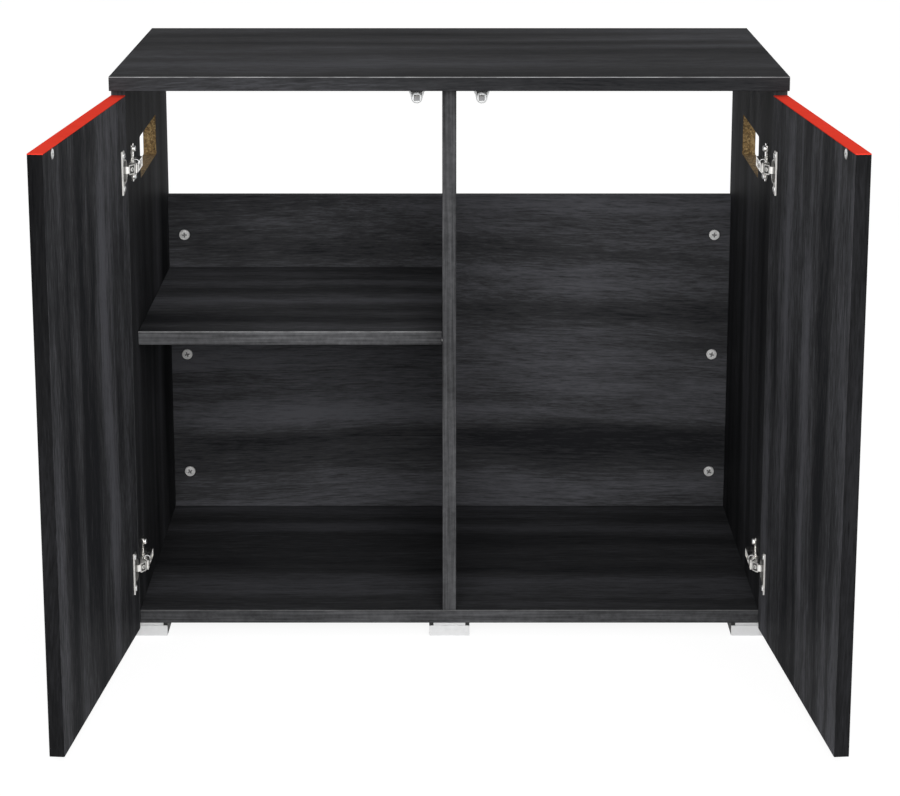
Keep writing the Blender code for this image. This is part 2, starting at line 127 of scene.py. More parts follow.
class HardwareSettings(bpy.types.PropertyGroup):
    nickel: colour("Nickel", "Colour of the hinges", (0.8600, 0.8450, 0.8150))
    zinc: colour("Zinc", "Colour of the cams", (0.9300, 0.9250, 0.9150))
    steel: colour("Steel", "Colour of the catches' discs and the screws", (0.8200, 0.8200, 0.8200))
    edge: length("Edge", "Rounding of the pressed steel parts", 0.00018)
    screw_radius: length("Screw radius", "Radius of the hinges' screw heads", 0.0036)
    screw_rise: length("Screw rise", "Height of the hinges' screw heads", 0.0015)


class PlasticSettings(bpy.types.PropertyGroup):
    red: colour("Red", "Colour of the bands on the doors' top edges", (1.0000, 0.0640, 0.0380))
    milky: colour("Milky", "Colour of the catches' housings", (0.8800, 0.8900, 0.8900))
    silver: colour("Silver", "Colour of the feet's covers", (0.7700, 0.7720, 0.7750))
    black: colour("Black", "Colour of the feet", (0.0120, 0.0120, 0.0130))


class StageSettings(bpy.types.PropertyGroup):
    floor: colour("Floor", "Colour of the floor", (0.8200, 0.8200, 0.8200))
    key: FloatProperty(name="Key light", description="Power of the large light in front", default=100.0, unit="POWER")
    fill: FloatProperty(name="Fill light", description="Power of the light above", default=6.0, unit="POWER")
    sky: share("Sky", "Strength of the even light from all round", 0.42)
    lens: FloatProperty(name="Lens", description="Focal length", default=102.24, unit="CAMERA", min=10.0)
    distance: length("Distance", "From the cabinet's middle to the camera", 2.8617)
    height: length("Height", "Height of the camera", 1.0814)
    pitch: FloatProperty(
        name="Pitch", description="How far the camera looks down", default=math.radians(13.10), subtype="ANGLE"
    )


GROUPS = {
    "stand_boards": BoardSettings,
    "stand_hardware": HardwareSettings,
    "stand_plastic": PlasticSettings,
    "stand_stage": StageSettings,
}


# ---------------------------------------------------------------- finishes


class Socket:
    """One output of a node, which works in Python expressions."""

    def __init__(self, recipe, output):
        self.recipe, self.output = recipe, output

    def maths(self, operation, first, second):
        return self.recipe.node("ShaderNodeMath", {"operation": operation}, {0: first, 1: second})

    def __add__(self, other):
        return self.maths("ADD", self, other)

    def __sub__(self, other):
        return self.maths("SUBTRACT", self, other)

    def __rsub__(self, other):
        return self.maths("SUBTRACT", other, self)

    def __mul__(self, other):
        return self.maths("MULTIPLY", self, other)

    def __gt__(self, other):
        return self.maths("GREATER_THAN", self, other)

    __radd__ = __add__
    __rmul__ = __mul__


class Recipe:
    """The nodes of one finish, or of the surroundings."""

    def __init__(self, name, owner=None):
        self.material = owner or bpy.data.materials.new(name)
        self.material.use_nodes = True
        self.tree = self.material.node_tree
        self.tree.nodes.clear()

    def node(self, kind, settings=None, sockets=None, output=0):
        """Adds a node, makes its settings, fills its sockets and gives one of its outputs."""
        node = self.tree.nodes.new(kind)
        for key, value in (settings or {}).items():
            if key == "stops":
                ramp = node.color_ramp
                while len(ramp.elements) < len(value):
                    ramp.elements.new(0.5)
                for element, (position, tone) in zip(ramp.elements, value):
                    element.position, element.color = position, (*tone, 1.0)
            else:
                setattr(node, key, value)
        for key, value in (sockets or {}).items():
            if isinstance(value, Socket):
                self.tree.links.new(value.output, node.inputs[key])
            else:
                node.inputs[key].default_value = value
        return Socket(self, node.outputs[output])

    def place(self, stretch=(1, 1, 1), shift=(0, 0, 0)):
        """Object coordinates, scaled along each axis."""
        coordinates = self.node("ShaderNodeTexCoord", output="Object")
        sockets = {"Vector": coordinates, "Location": shift, "Scale": stretch}
        return self.node("ShaderNodeMapping", {"vector_type": "POINT"}, sockets)

    def vector_maths(self, operation, *vectors):
        return self.node("ShaderNodeVectorMath", {"operation": operation}, dict(enumerate(vectors)))

    def noise(self, vector, scale=1.0, detail=2.0, rough=0.5, distortion=0.0, output="Fac"):
        sockets = {"Vector": vector, "Scale": scale, "Detail": detail, "Roughness": rough, "Distortion": distortion}
        return self.node("ShaderNodeTexNoise", None, sockets, output)

    def ramp(self, factor, *stops):
        return self.node("ShaderNodeValToRGB", {"stops": stops}, {"Fac": factor})

    def mix(self, factor, first, second):
        sides = [side if isinstance(side, Socket) else (*side, 1.0) for side in (first, second)]
        return self.node("ShaderNodeMix", {"data_type": "RGBA"}, {0: factor, 6: sides[0], 7: sides[1]}, 2)

    def spread(self, factor, low, high, from_low=0.3, from_high=0.7):
        """A value that goes from low to high as the factor goes across its range."""
        ends = {"From Min": from_low, "From Max": from_high, "To Min": low, "To Max": high}
        return self.node("ShaderNodeMapRange", None, {"Value": factor, **ends})

    def bump(self, height, distance, strength=1.0):
        return self.node("ShaderNodeBump", None, {"Height": height, "Distance": distance, "Strength": strength})

    def shader(self, **sockets):
        named = {key.replace("_", " "): value for key, value in sockets.items()}
        surface = self.node("ShaderNodeBsdfPrincipled", None, named)
        self.node_out(surface)
        return self.material

    def node_out(self, surface, kind="ShaderNodeOutputMaterial"):
        output = self.tree.nodes.new(kind)
        self.tree.links.new(surface.output, output.inputs["Surface"])


def tinted(tone, amount):
    return tuple(min(1.0, part * amount) for part in tone)


def laminate(name, grain, strength=1.0, contrast=1.0):
    """Black wood-grain laminate, with its grain along one axis; strength scales its colours, as painted light above
    one and painted shade below.
    """
    boards = bpy.context.scene.stand_boards
    recipe = Recipe(name)
    along = "XYZ".index(grain)

    def stretch(across, lengthwise):
        return tuple(lengthwise if axis == along else across for axis in range(3))

    sway = recipe.noise(recipe.place(stretch(3.2, 1.7), (3.1, 0.4, 1.9)), 1.0, 1.0, output="Color")
    centred = recipe.vector_maths("SUBTRACT", sway, (0.5, 0.5, 0.5))
    coordinates = recipe.node("ShaderNodeTexCoord", output="Object")
    waved = recipe.vector_maths("MULTIPLY_ADD", centred, stretch(0.055, 0.0), coordinates)

    def streaks(across, lengthwise, **noise):
        return recipe.noise(recipe.vector_maths("MULTIPLY", waved, stretch(across, lengthwise)), 1.0, **noise)

    bands = streaks(17.0, 0.9, detail=1.5, rough=0.5)
    figure = streaks(80.0, 5.0, detail=5.0, rough=0.68)
    grain_lines = streaks(430.0, 26.0, detail=3.0, rough=0.6)
    pores = streaks(760.0, 60.0, detail=3.0, rough=0.6)
    specks = streaks(1500.0, 150.0, detail=2.0, rough=0.5)
    clouds = recipe.noise(recipe.place(stretch(7.0, 3.5), (4.0, 1.0, 2.0)), 1.0, 3.0, 0.6)
    grainy = bands * 0.34 + clouds * 0.15 + figure * 0.14 + grain_lines * 0.17 + pores * 0.13 + specks * 0.07
    reach = 0.092 / contrast
    tone = recipe.ramp(
        grainy,
        (0.50 - reach, tinted(boards.dark, strength)),
        (0.50, tinted(boards.middle, strength)),
        (0.50 + reach, tinted(boards.light, strength)),
    )
    cracks = recipe.spread(grain_lines, 1.0, 0.0, 0.24, 0.38)
    stained = recipe.mix(cracks * 0.32, tone, tinted(boards.dark, 0.5 * strength))
    relief = recipe.bump(pores * 0.6 + figure * 0.4, 0.00035, 0.55)
    return recipe.shader(
        Base_Color=stained,
        Roughness=recipe.spread(figure, 0.46, 0.62),
        Specular_IOR_Level=boards.gloss,
        Normal=relief,
    )


def banding(name, grain, strength=1.0):
    """The paler, finer banding on the boards' front edges; its paler tone is partly its own and partly painted light,
    and strength scales it further as painted light.
    """
    boards = bpy.context.scene.stand_boards
    recipe = Recipe(name)
    along = "XYZ".index(grain)
    stretch = tuple(9.0 if axis == along else 330.0 for axis in range(3))
    streaks = recipe.noise(recipe.place(stretch), 1.0, 4.0, 0.6)
    patches = recipe.noise(recipe.place((7.0, 7.0, 7.0), (2.0, 0, 5.0)), 1.0, 2.0)
    mottle = recipe.noise(recipe.place((160.0, 160.0, 160.0)), 1.0, 3.0, 0.65)
    value = streaks * 0.46 + patches * 0.34 + mottle * 0.20
    tone = recipe.ramp(
        value,
        (0.38, tinted(boards.edge, 0.45 * strength)),
        (0.50, tinted(boards.edge, 0.90 * strength)),
        (0.62, tinted(boards.edge, 1.50 * strength)),
    )
    return recipe.shader(
        Base_Color=tone,
        Roughness=recipe.spread(streaks, 0.45, 0.60),
        Specular_IOR_Level=boards.gloss,
        Normal=recipe.bump(streaks, 0.0002, 0.4),
    )


def paint_arris_highlight(name, strength=1.0):
    """A painted highlight: the bright line where the banding meets the upper face, standing in for the light that it
    catches from above and in front.
    """
    boards = bpy.context.scene.stand_boards
    recipe = Recipe(name)
    shine = recipe.noise(recipe.place((28.0, 90.0, 28.0)), 1.0, 4.0, 0.6)
    tone = recipe.ramp(
        shine, (0.36, tinted(boards.bright, 0.50 * strength)), (0.60, tinted(boards.bright, 1.15 * strength))
    )
    return recipe.shader(Base_Color=tone, Roughness=recipe.spread(shine, 0.35, 0.55), Specular_IOR_Level=0.3)


def chipboard(name):
    """Raw pressed chips, as the saw left them."""
    boards = bpy.context.scene.stand_boards
    recipe = Recipe(name)
    vector = recipe.place((620.0, 420.0, 420.0))
    cells = {"Vector": vector, "Scale": 1.0, "Randomness": 1.0}
    chips = recipe.node("ShaderNodeTexVoronoi", {"feature": "F1"}, cells, "Color")
    chip_tone = recipe.node("ShaderNodeSeparateColor", None, {"Color": chips}, "Red")
    gaps = recipe.node("ShaderNodeTexVoronoi", {"feature": "DISTANCE_TO_EDGE"}, cells, "Distance")
    fibres = recipe.noise(recipe.place((900.0, 420.0, 520.0)), 1.0, 3.0, 0.65)
    tone = recipe.ramp(
        chip_tone * 0.55 + fibres * 0.45,
        (0.22, tinted(boards.chip, 0.35)),
        (0.45, tuple(boards.chip)),
        (0.80, tuple(boards.chip_fleck)),
    )
    holes = recipe.spread(gaps, 0.75, 0.0, 0.0, 0.09)
    stained = recipe.mix(holes, tone, tinted(boards.chip, 0.30))
    relief = recipe.bump(fibres * 0.5 + chip_tone * 0.3 - holes * 0.5, 0.0006, 0.8)
    return recipe.shader(Base_Color=stained, Roughness=recipe.spread(fibres, 0.75, 0.92), Normal=relief)


def plated(name, tone, rough=(0.16, 0.30), metallic=1.0, brushed=(900.0, 900.0, 60.0), tarnished=0.22):
    """Plated metal with a fine drawn surface and a little tarnish."""
    recipe = Recipe(name)
    brush = recipe.noise(recipe.place(brushed), 1.0, 3.0, 0.6)
    tarnish = recipe.noise(recipe.place((120.0, 120.0, 120.0), (1.3, 0.2, 0.7)), 1.0, 4.0, 0.6)
    dull, bright = tinted(tone, 1 - tarnished), tinted(tone, 1 + tarnished / 3)
    shade = recipe.ramp(tarnish * 0.7 + brush * 0.3, (0.34, dull), (0.62, bright))
    return recipe.shader(
        Base_Color=shade,
        Roughness=recipe.spread(brush * 0.5 + tarnish * 0.5, *rough),
        Metallic=metallic,
        Normal=recipe.bump(brush, 0.00004, 0.35),
    )


def moulded(name, tone, rough=(0.30, 0.48), grain=1500.0, depth=0.00006, variation=0.10, gloss=0.5):
    """Moulded plastic with a fine texture."""
    recipe = Recipe(name)
    texture = recipe.noise(recipe.place((grain, grain, grain)), 1.0, 2.0, 0.6)
    clouds = recipe.noise(recipe.place((45.0, 45.0, 45.0), (0.6, 2.2, 1.4)), 1.0, 4.0, 0.6)
    shade = recipe.ramp(clouds, (0.35, tinted(tone, 1 - variation)), (0.65, tinted(tone, 1 + variation)))
    return recipe.shader(
        Base_Color=shade,
        Roughness=recipe.spread(clouds * 0.5 + texture * 0.5, *rough),
        Specular_IOR_Level=gloss,
        Normal=recipe.bump(texture, depth, 0.5),
    )


def hardware():
    return bpy.context.scene.stand_hardware


def plastic():
    return bpy.context.scene.stand_plastic


RECIPES = {
    # The strengths scale the colours of the one laminate and of its banding, so each board or face gets a brighter or
    # darker copy: painted light where above one, painted shade where below.
    "laminate_x": lambda name: laminate(name, "X", 1.05),
    "laminate_shelf": lambda name: laminate(name, "X", 2.20),
    "laminate_x_pale": lambda name: laminate(name, "X", 1.45, 0.8),
    "laminate_back": lambda name: laminate(name, "X", 1.95),
    "laminate_z": lambda name: laminate(name, "Z", 1.30),
    "laminate_door": lambda name: laminate(name, "Z", 1.95, 1.50),
    "laminate_door_edge": lambda name: laminate(name, "Z", 0.48, 0.8),
    "banding_x": lambda name: banding(name, "X"),
    "banding_x_pale": lambda name: banding(name, "X", 1.45),
    "banding_z": lambda name: banding(name, "Z", 1.05),
    # The arris finishes are painted highlights: full on the top and the shelf, faint on the bottom board.
    "bright_arris": paint_arris_highlight,
    "faint_arris": lambda name: paint_arris_highlight(name, 0.34),
    "raw_chipboard": chipboard,
    "nickel": lambda name: plated(name, hardware().nickel, tarnished=0.14),
    # The brightened nickel, nearly without metal, is a painted highlight on the cups' ribs and on the links' lips and
    # rivet heads. The flange nickel is darkened, as painted shade on the cups' flanges. The dark nickel is darker
    # still: painted shade in recesses, channels and the links' dishes, and the colour of the catches' pole plates and
    # washers.
    "nickel_bright": lambda name: plated(name, tinted(hardware().nickel, 1.12), (0.36, 0.48), 0.20, tarnished=0.05),
    "nickel_flange": lambda name: plated(name, tinted(hardware().nickel, 0.45), (0.30, 0.44), 0.9, tarnished=0.16),
    "nickel_satin": lambda name: plated(name, hardware().nickel, (0.38, 0.50), 0.85, tarnished=0.10),
    "nickel_dark": lambda name: plated(name, tinted(hardware().nickel, 0.22), (0.35, 0.5)),
    "zinc": lambda name: plated(name, hardware().zinc, (0.34, 0.48), 0.20, (500.0, 500.0, 500.0), 0.16),
    "zinc_shadow": lambda name: plated(name, tinted(hardware().zinc, 0.30), (0.45, 0.6), 0.5),
    "steel": lambda name: plated(name, hardware().steel, (0.22, 0.36), 0.85),
    "bright_steel": lambda name: plated(name, tinted(hardware().steel, 1.15), (0.28, 0.38), 0.45, tarnished=0.06),
    "magnet": lambda name: moulded(name, (0.270, 0.270, 0.275), (0.35, 0.50), 2200.0, 0.00005, 0.25),
    "red_band": lambda name: moulded(name, plastic().red, (0.40, 0.52), 1200.0, 0.00003, 0.05, 0.0),
    "milky": lambda name: moulded(name, plastic().milky, (0.28, 0.40), 1400.0, 0.00003, 0.05),
    "milky_grey": lambda name: moulded(name, tinted(plastic().milky, 0.62), (0.30, 0.45), 1400.0, 0.00003, 0.08),
    "milky_shadow": lambda name: moulded(name, tinted(plastic().milky, 0.10), (0.40, 0.55), 1400.0, 0.00003, 0.08),
    "silver": lambda name: plated(name, plastic().silver, (0.34, 0.46), 0.35, (40.0, 900.0, 900.0), 0.05),
    "black_plastic": lambda name: moulded(name, plastic().black, (0.42, 0.60), 1600.0, 0.00010, 0.25),
}


def finish(name):
    """A finish by its name, mixed when it is first asked for."""
    return bpy.data.materials.get(name) or RECIPES[name](name)


# ---------------------------------------------------------------- shaping


WELD = 1e-6  # points closer than this are one
SHARP = math.radians(50)  # edges that turn by more than this are rounded
ROUND = 24  # steps round a small turned shape
FACETED = 30.0  # degrees: on boards and feet, edges that turn by more than this stay sharp
HERE = Matrix.Identity(4)  # for a shape that is already in its place

# A quarter of each outline, which a round opening is drawn in to.
CROSS = ((1.0, 0.0), (1.0, 0.26), (0.62, 0.26), (0.26, 0.26), (0.26, 0.62), (0.26, 1.0))
SQUARE = ((1.0, 0.0), (1.0, 0.27), (1.0, 0.58), (1.0, 1.0), (0.58, 1.0), (0.27, 1.0))


def paint(faces, index):
    """Gives faces one of the finishes that their piece is kept with."""
    for face in faces:
        face.material_index = index


def copy_of(node):
    """A clean mesh of a CAD node: its triangles merged into flat faces."""
    mesh = bmesh.new()
    mesh.from_mesh(frame["nodes"][node].data)
    for layer in list(mesh.loops.layers.uv):
        mesh.loops.layers.uv.remove(layer)
    bmesh.ops.remove_doubles(mesh, verts=mesh.verts, dist=WELD)
    bmesh.ops.dissolve_limit(mesh, angle_limit=math.radians(1.0), verts=mesh.verts, edges=mesh.edges)
    paint(mesh.faces, 0)
    return mesh


def new_verts(made):
    return [item for item in made["geom"] if isinstance(item, bmesh.types.BMVert)]


def slab(low, high):
    """A box between two corners."""
    low, high = Vector(low), Vector(high)
    mesh = bmesh.new()
    place = Matrix.Translation((low + high) / 2) @ Matrix.Diagonal((*(high - low), 1.0))
    bmesh.ops.create_cube(mesh, size=1.0, matrix=place)
    return mesh


def round_edges(mesh, edges, width, segments=2, material=-1):
    bmesh.ops.bevel(
        mesh,
        geom=edges,
        offset=width,
        offset_type="OFFSET",
        affect="EDGES",
        segments=segments,
        profile=0.5,
        material=material,
        clamp_overlap=True,
    )


def sharp_edges(mesh, shortest=0.0):
    met = [edge for edge in mesh.edges if len(edge.link_faces) == 2]
    return [edge for edge in met if edge.calc_face_angle(0.0) > SHARP and edge.calc_length() > shortest]


def eased(mesh, width, segments=2, shortest=0.0):
    """A shape with its sharp edges rounded."""
    round_edges(mesh, sharp_edges(mesh, shortest), width, segments)
    return mesh


def turned(profile, segments=32):
    """A round shape about Z, from a profile of radius and height."""
    mesh = bmesh.new()
    line = [mesh.verts.new((radius, 0, height)) for radius, height in profile]
    edges = [mesh.edges.new(pair) for pair in zip(line, line[1:])]
    bmesh.ops.spin(
        mesh, geom=line + edges, axis=(0, 0, 1), cent=(0, 0, 0), angle=math.tau, steps=segments, use_merge=True
    )
    bmesh.ops.remove_doubles(mesh, verts=mesh.verts, dist=WELD)
    bmesh.ops.recalc_face_normals(mesh, faces=mesh.faces)
    return mesh


def recess(mesh, outline, reach, depth, taper=0.72):
    """Draws a round opening in to an outline, sinks it and closes its bottom. Its inside is the second finish, which
    is painted shade.
    """
    quarter = len(outline)
    for size, sink in ((1.0, 0.0), (taper, depth)):
        rim = [edge for edge in mesh.edges if edge.is_boundary]
        made = bmesh.ops.extrude_edge_only(mesh, edges=rim)
        for vert in new_verts(made):
            step = round(math.atan2(vert.co.y, vert.co.x) / math.tau * ROUND) % ROUND
            corner = Matrix.Rotation(math.tau * (step // quarter) / 4, 2) @ Vector(outline[step % quarter])
            vert.co = (corner.x * reach * size, corner.y * reach * size, vert.co.z - sink)
        if sink:
            paint([item for item in made["geom"] if isinstance(item, bmesh.types.BMFace)], 1)
    rim = [edge for edge in mesh.edges if edge.is_boundary]
    paint(bmesh.ops.edgeloop_fill(mesh, edges=rim)["faces"], 1)
    bmesh.ops.recalc_face_normals(mesh, faces=mesh.faces)


def screw_head(radius, rise, shank=0.0008):
    """A pan head with a cross recess, its seat at the origin and facing +Z. Its recess is the second finish, which is
    painted shade.
    """
    profile = [
        (0.0, -shank),
        (radius * 0.80, -shank),
        (radius * 0.80, 0.0),
        (radius, 0.0),
        (radius, rise * 0.30),
        (radius * 0.93, rise * 0.68),
        (radius * 0.80, rise * 0.88),
        (radius * 0.66, rise),
    ]
    mesh = turned(profile, ROUND)
    recess(mesh, CROSS, radius * 0.56, rise * 0.62)
    return mesh


def facing(point, direction, spin=0.0):
    """Carries a shape drawn about Z to a point, facing a direction."""
    turn = Vector(direction).to_track_quat("Z", "Y").to_matrix().to_4x4()
    return Matrix.Translation(point) @ turn @ Matrix.Rotation(spin, 4, "Z")


def door_place(side):
    """Carries a point from a door's own axes, which start at its hinge and run inwards, to where the door stands."""
    hinge = DOOR_JOINTS["left_door" if side < 0 else "right_door"]
    turn = Matrix.Rotation(side * DOOR_TURN, 4, "Z")
    return Matrix.Translation((hinge.x, hinge.y, 0)) @ turn @ Matrix.Diagonal((side, 1, 1, 1))


def joined(*shapes):
    """Several shapes, each with the matrix that places it, as one mesh."""
    whole = bmesh.new()
    for shape, matrix in shapes:
        bmesh.ops.transform(shape, matrix=matrix, verts=shape.verts)
        if matrix.determinant() < 0:
            bmesh.ops.reverse_faces(shape, faces=shape.faces)
        part = bpy.data.meshes.new("part")
        shape.to_mesh(part)
        shape.free()
        whole.from_mesh(part)
        bpy.data.meshes.remove(part)
    return whole


def keep(name, mesh, body, finishes, replaced=(), smooth=35.0):
    """Makes a mesh a finished piece, which rides on a body and may stand for CAD nodes."""
    data = bpy.data.meshes.new(name)
    mesh.to_mesh(data)
    mesh.free()
    for finish_name in finishes:
        data.materials.append(finish(finish_name))
    data.shade_smooth()
    data.set_sharp_from_angle(angle=math.radians(smooth))
    piece = bpy.data.objects.new(name, data)
    bpy.context.scene.collection.objects.link(piece)
    piece.modifiers.new("even_normals", "WEIGHTED_NORMAL").keep_sharp = True
    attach(piece, body)
    if replaced:
        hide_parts(*replaced)
    return piece


# ---------------------------------------------------------------- boards


LONG_EDGE = 0.02  # a board's edges over this length are rounded
ARRIS_ROOM = 0.002  # but not those this close to the bright upper front arris
DOOR_EDGE = 0.0155  # a door's edges over this length are rounded
FACING = 0.7  # how squarely a face turns to a direction, to count as facing it
# The cutouts lie inside these margins, in from a side board's lowest and highest corners.
CUTOUT_LOW = (0.001, 0.06, 0.36)
CUTOUT_HIGH = (0.001, 0.06, 0.05)


def on_front(face, front):
    return face.normal.y < -0.9 and abs(face.calc_center_median().y - front) < 1e-4


def board(node, face_finish, edge_finish, arris_highlight_finish=None):
    """A board with rounded edges, banding on its front edge, and a painted highlight on its upper front arris where
    it has one.
    """
    boards = bpy.context.scene.stand_boards
    mesh = copy_of(node)
    low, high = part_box(node)
    paint([face for face in mesh.faces if on_front(face, low.y)], 1)
    longest = sharp_edges(mesh, LONG_EDGE)
    if arris_highlight_finish:
        upper = [
            edge
            for edge in longest
            if all(abs(vert.co.y - low.y) < 1e-5 and abs(vert.co.z - high.z) < 1e-5 for vert in edge.verts)
        ]
        # The rounded upper front arris takes the third finish, a painted highlight.
        round_edges(mesh, upper, boards.front_arris, 3, material=2)
        behind, below = low.y + ARRIS_ROOM, high.z - ARRIS_ROOM
        longest = [
            edge
            for edge in sharp_edges(mesh, LONG_EDGE)
            if all(vert.co.y > behind or vert.co.z < below for vert in edge.verts)
        ]
    round_edges(mesh, longest, boards.arris, 2)
    return mesh, [face_finish, edge_finish, arris_highlight_finish or edge_finish, "raw_chipboard"]


class STAND_OT_boards(bpy.types.Operator):
    """Make the top, bottom, back and shelf with their grain across, and the divider with its grain upright"""

    bl_idname = "stand.boards"
    bl_label = "Boards"

    def execute(self, context):
        kinds = {
            # Face, front edge and upper arris finishes for each board; the brighter laminate copies are painted light
            # and the arris finishes painted highlights.
            "top_panel": ("laminate_x", "laminate_x_pale", "bright_arris"),
            "bottom_panel": ("laminate_x_pale", "banding_x", "faint_arris"),
            "shelf": ("laminate_shelf", "banding_x_pale", "bright_arris"),
            "back_panel": ("laminate_back", "laminate_back", None),
            "divider_panel": ("laminate_z", "banding_z", None),
        }
        for node, (face_finish, edge_finish, arris_highlight_finish) in kinds.items():
            mesh, finishes = board(node, face_finish, edge_finish, arris_highlight_finish)
            keep(f"{node}_board", mesh, "root", finishes, (node,), FACETED)
        return {"FINISHED"}


class STAND_OT_sides(bpy.types.Operator):
    """Make the side boards, with raw chipboard showing in their cutouts"""

    bl_idname = "stand.sides"
    bl_label = "Side boards"

    def execute(self, context):
        for side_name in SIDES:
            node = f"{side_name}_side_panel"
            low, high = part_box(node)
            mesh, finishes = board(node, "laminate_z", "banding_z")
            for face in mesh.faces:
                middle = face.calc_center_median()
                inside = all(low[i] + CUTOUT_LOW[i] < middle[i] < high[i] - CUTOUT_HIGH[i] for i in range(3))
                if inside and abs(face.normal.x) < 0.1:
                    face.material_index = 3
            keep(f"{node}_board", mesh, "root", finishes, (node,), FACETED)
        return {"FINISHED"}


class STAND_OT_doors(bpy.types.Operator):
    """Make the doors and the red bands on their top edges"""

    bl_idname = "stand.doors"
    bl_label = "Doors"

    def execute(self, context):
        boards = context.scene.stand_boards
        for side_name, side in SIDES.items():
            node = f"{side_name}_door"
            mesh = copy_of(node)
            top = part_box(node)[1].z
            lower = [e for e in sharp_edges(mesh, DOOR_EDGE) if min(v.co.z for v in e.verts) < top - 0.001]
            # The faces turned in take a brightened copy of the laminate, as painted light, and the edges a darkened
            # copy, as painted shade; the faces turned out take the upright boards' laminate.
            inward = door_place(side).to_3x3() @ Vector((0, 1, 0))
            for face in mesh.faces:
                turned_in = face.normal.dot(inward)
                if turned_in < FACING:
                    face.material_index = 1 if turned_in > -FACING else 2
            round_edges(mesh, lower, boards.arris, 2)
            finishes = ["laminate_door", "laminate_door_edge", "laminate_z"]
            keep(f"{node}_board", mesh, node, finishes, (node,), FACETED)
            band = copy_of(f"{node}_band")
            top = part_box(f"{node}_band")[1].z
            upper = [e for e in sharp_edges(band) if all(v.co.z > top - 1e-5 for v in e.verts)]
            round_edges(band, upper, boards.arris * 0.6, 3)
            keep(f"{node}_top_band", band, node, ["red_band"], (f"{node}_band",), FACETED)
        return {"FINISHED"}


# ---------------------------------------------------------------- fittings


CAM_ROOM = 0.0004  # between a cam and its bore
# The rib's brightness is a painted highlight.
CUP_RIB = (-0.0238, -0.0222, 0.0019)  # the bright rib on a cup's flange: from, to, and its height
CUP_WEB = (-0.0230, -0.0207, 0.0008)  # the low step behind the rib
LINK_LIP, LINK_SINK = 0.0012, 0.0003  # width of the lips on a link, and depth of the dish between them
ARM_NOSE = 0.0115  # from an arm's front end to where its channel starts
ARM_LIP, ARM_CHANNEL = 0.0011, 0.0038  # width of an arm's rim, and depth of its channel
NOSE_SCREW = 0.0078  # from an arm's front end to the screw in its nose
FRONT_SCREW, REAR_SCREW = 0.0205, 0.0085  # from an arm's front and rear ends to the screws in its channel
SPRING_WIRE, SPRING_RADIUS = 0.00045, 0.0034
PLATE_THICK = 0.0034  # from the side board to the heads of a mounting plate's screws
PLATE_SCREW_BACK, PLATE_SCREW_RISE = 0.029, 0.016  # from the plate's front end, and from its middle
CASE_LENGTH = 0.013  # of a catch's round case
RIB_TOP, RIB_FOOT = 0.0022, 0.0012  # thickness of a catch's ribs, at the top and where they meet the case
WEB_NARROW = 0.62  # width of a catch's web at its foot, as a share of its width at the top


class STAND_OT_cams(bpy.types.Operator):
    """Make the six cams in the back board, each with a rim and a cross recess"""

    bl_idname = "stand.cams"
    bl_label = "Back cams"

    def execute(self, context):
        for side_name, side in SIDES.items():
            for row in (1, 2, 3):
                node = f"{side_name}_back_cam_{row}"
                low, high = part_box(node)
                radius, depth = (high.x - low.x) / 2 - CAM_ROOM, high.y - low.y
                profile = [
                    (0.0, -depth),
                    (radius - 0.0006, -depth),
                    (radius, -depth + 0.0006),
                    (radius, -0.0005),
                    (radius - 0.0003, -0.0001),
                    (radius - 0.0008, 0.0),
                    (radius * 0.80, 0.0),
                    (radius * 0.77, -0.0005),
                    (radius * 0.70, -0.0005),
                    (radius * 0.67, -0.0001),
                    (radius * 0.55, 0.0),
                ]
                mesh = turned(profile, ROUND)
                recess(mesh, CROSS, radius * 0.46, 0.0022)
                point = Vector(((low.x + high.x) / 2, low.y, (low.z + high.z) / 2))
                spin = math.radians(45 + 14 * row * side)
                whole = joined((mesh, facing(point, (0, -1, 0), spin)))
                keep(f"{node}_zinc", whole, "root", ["zinc", "zinc_shadow"], (node,))
        return {"FINISHED"}


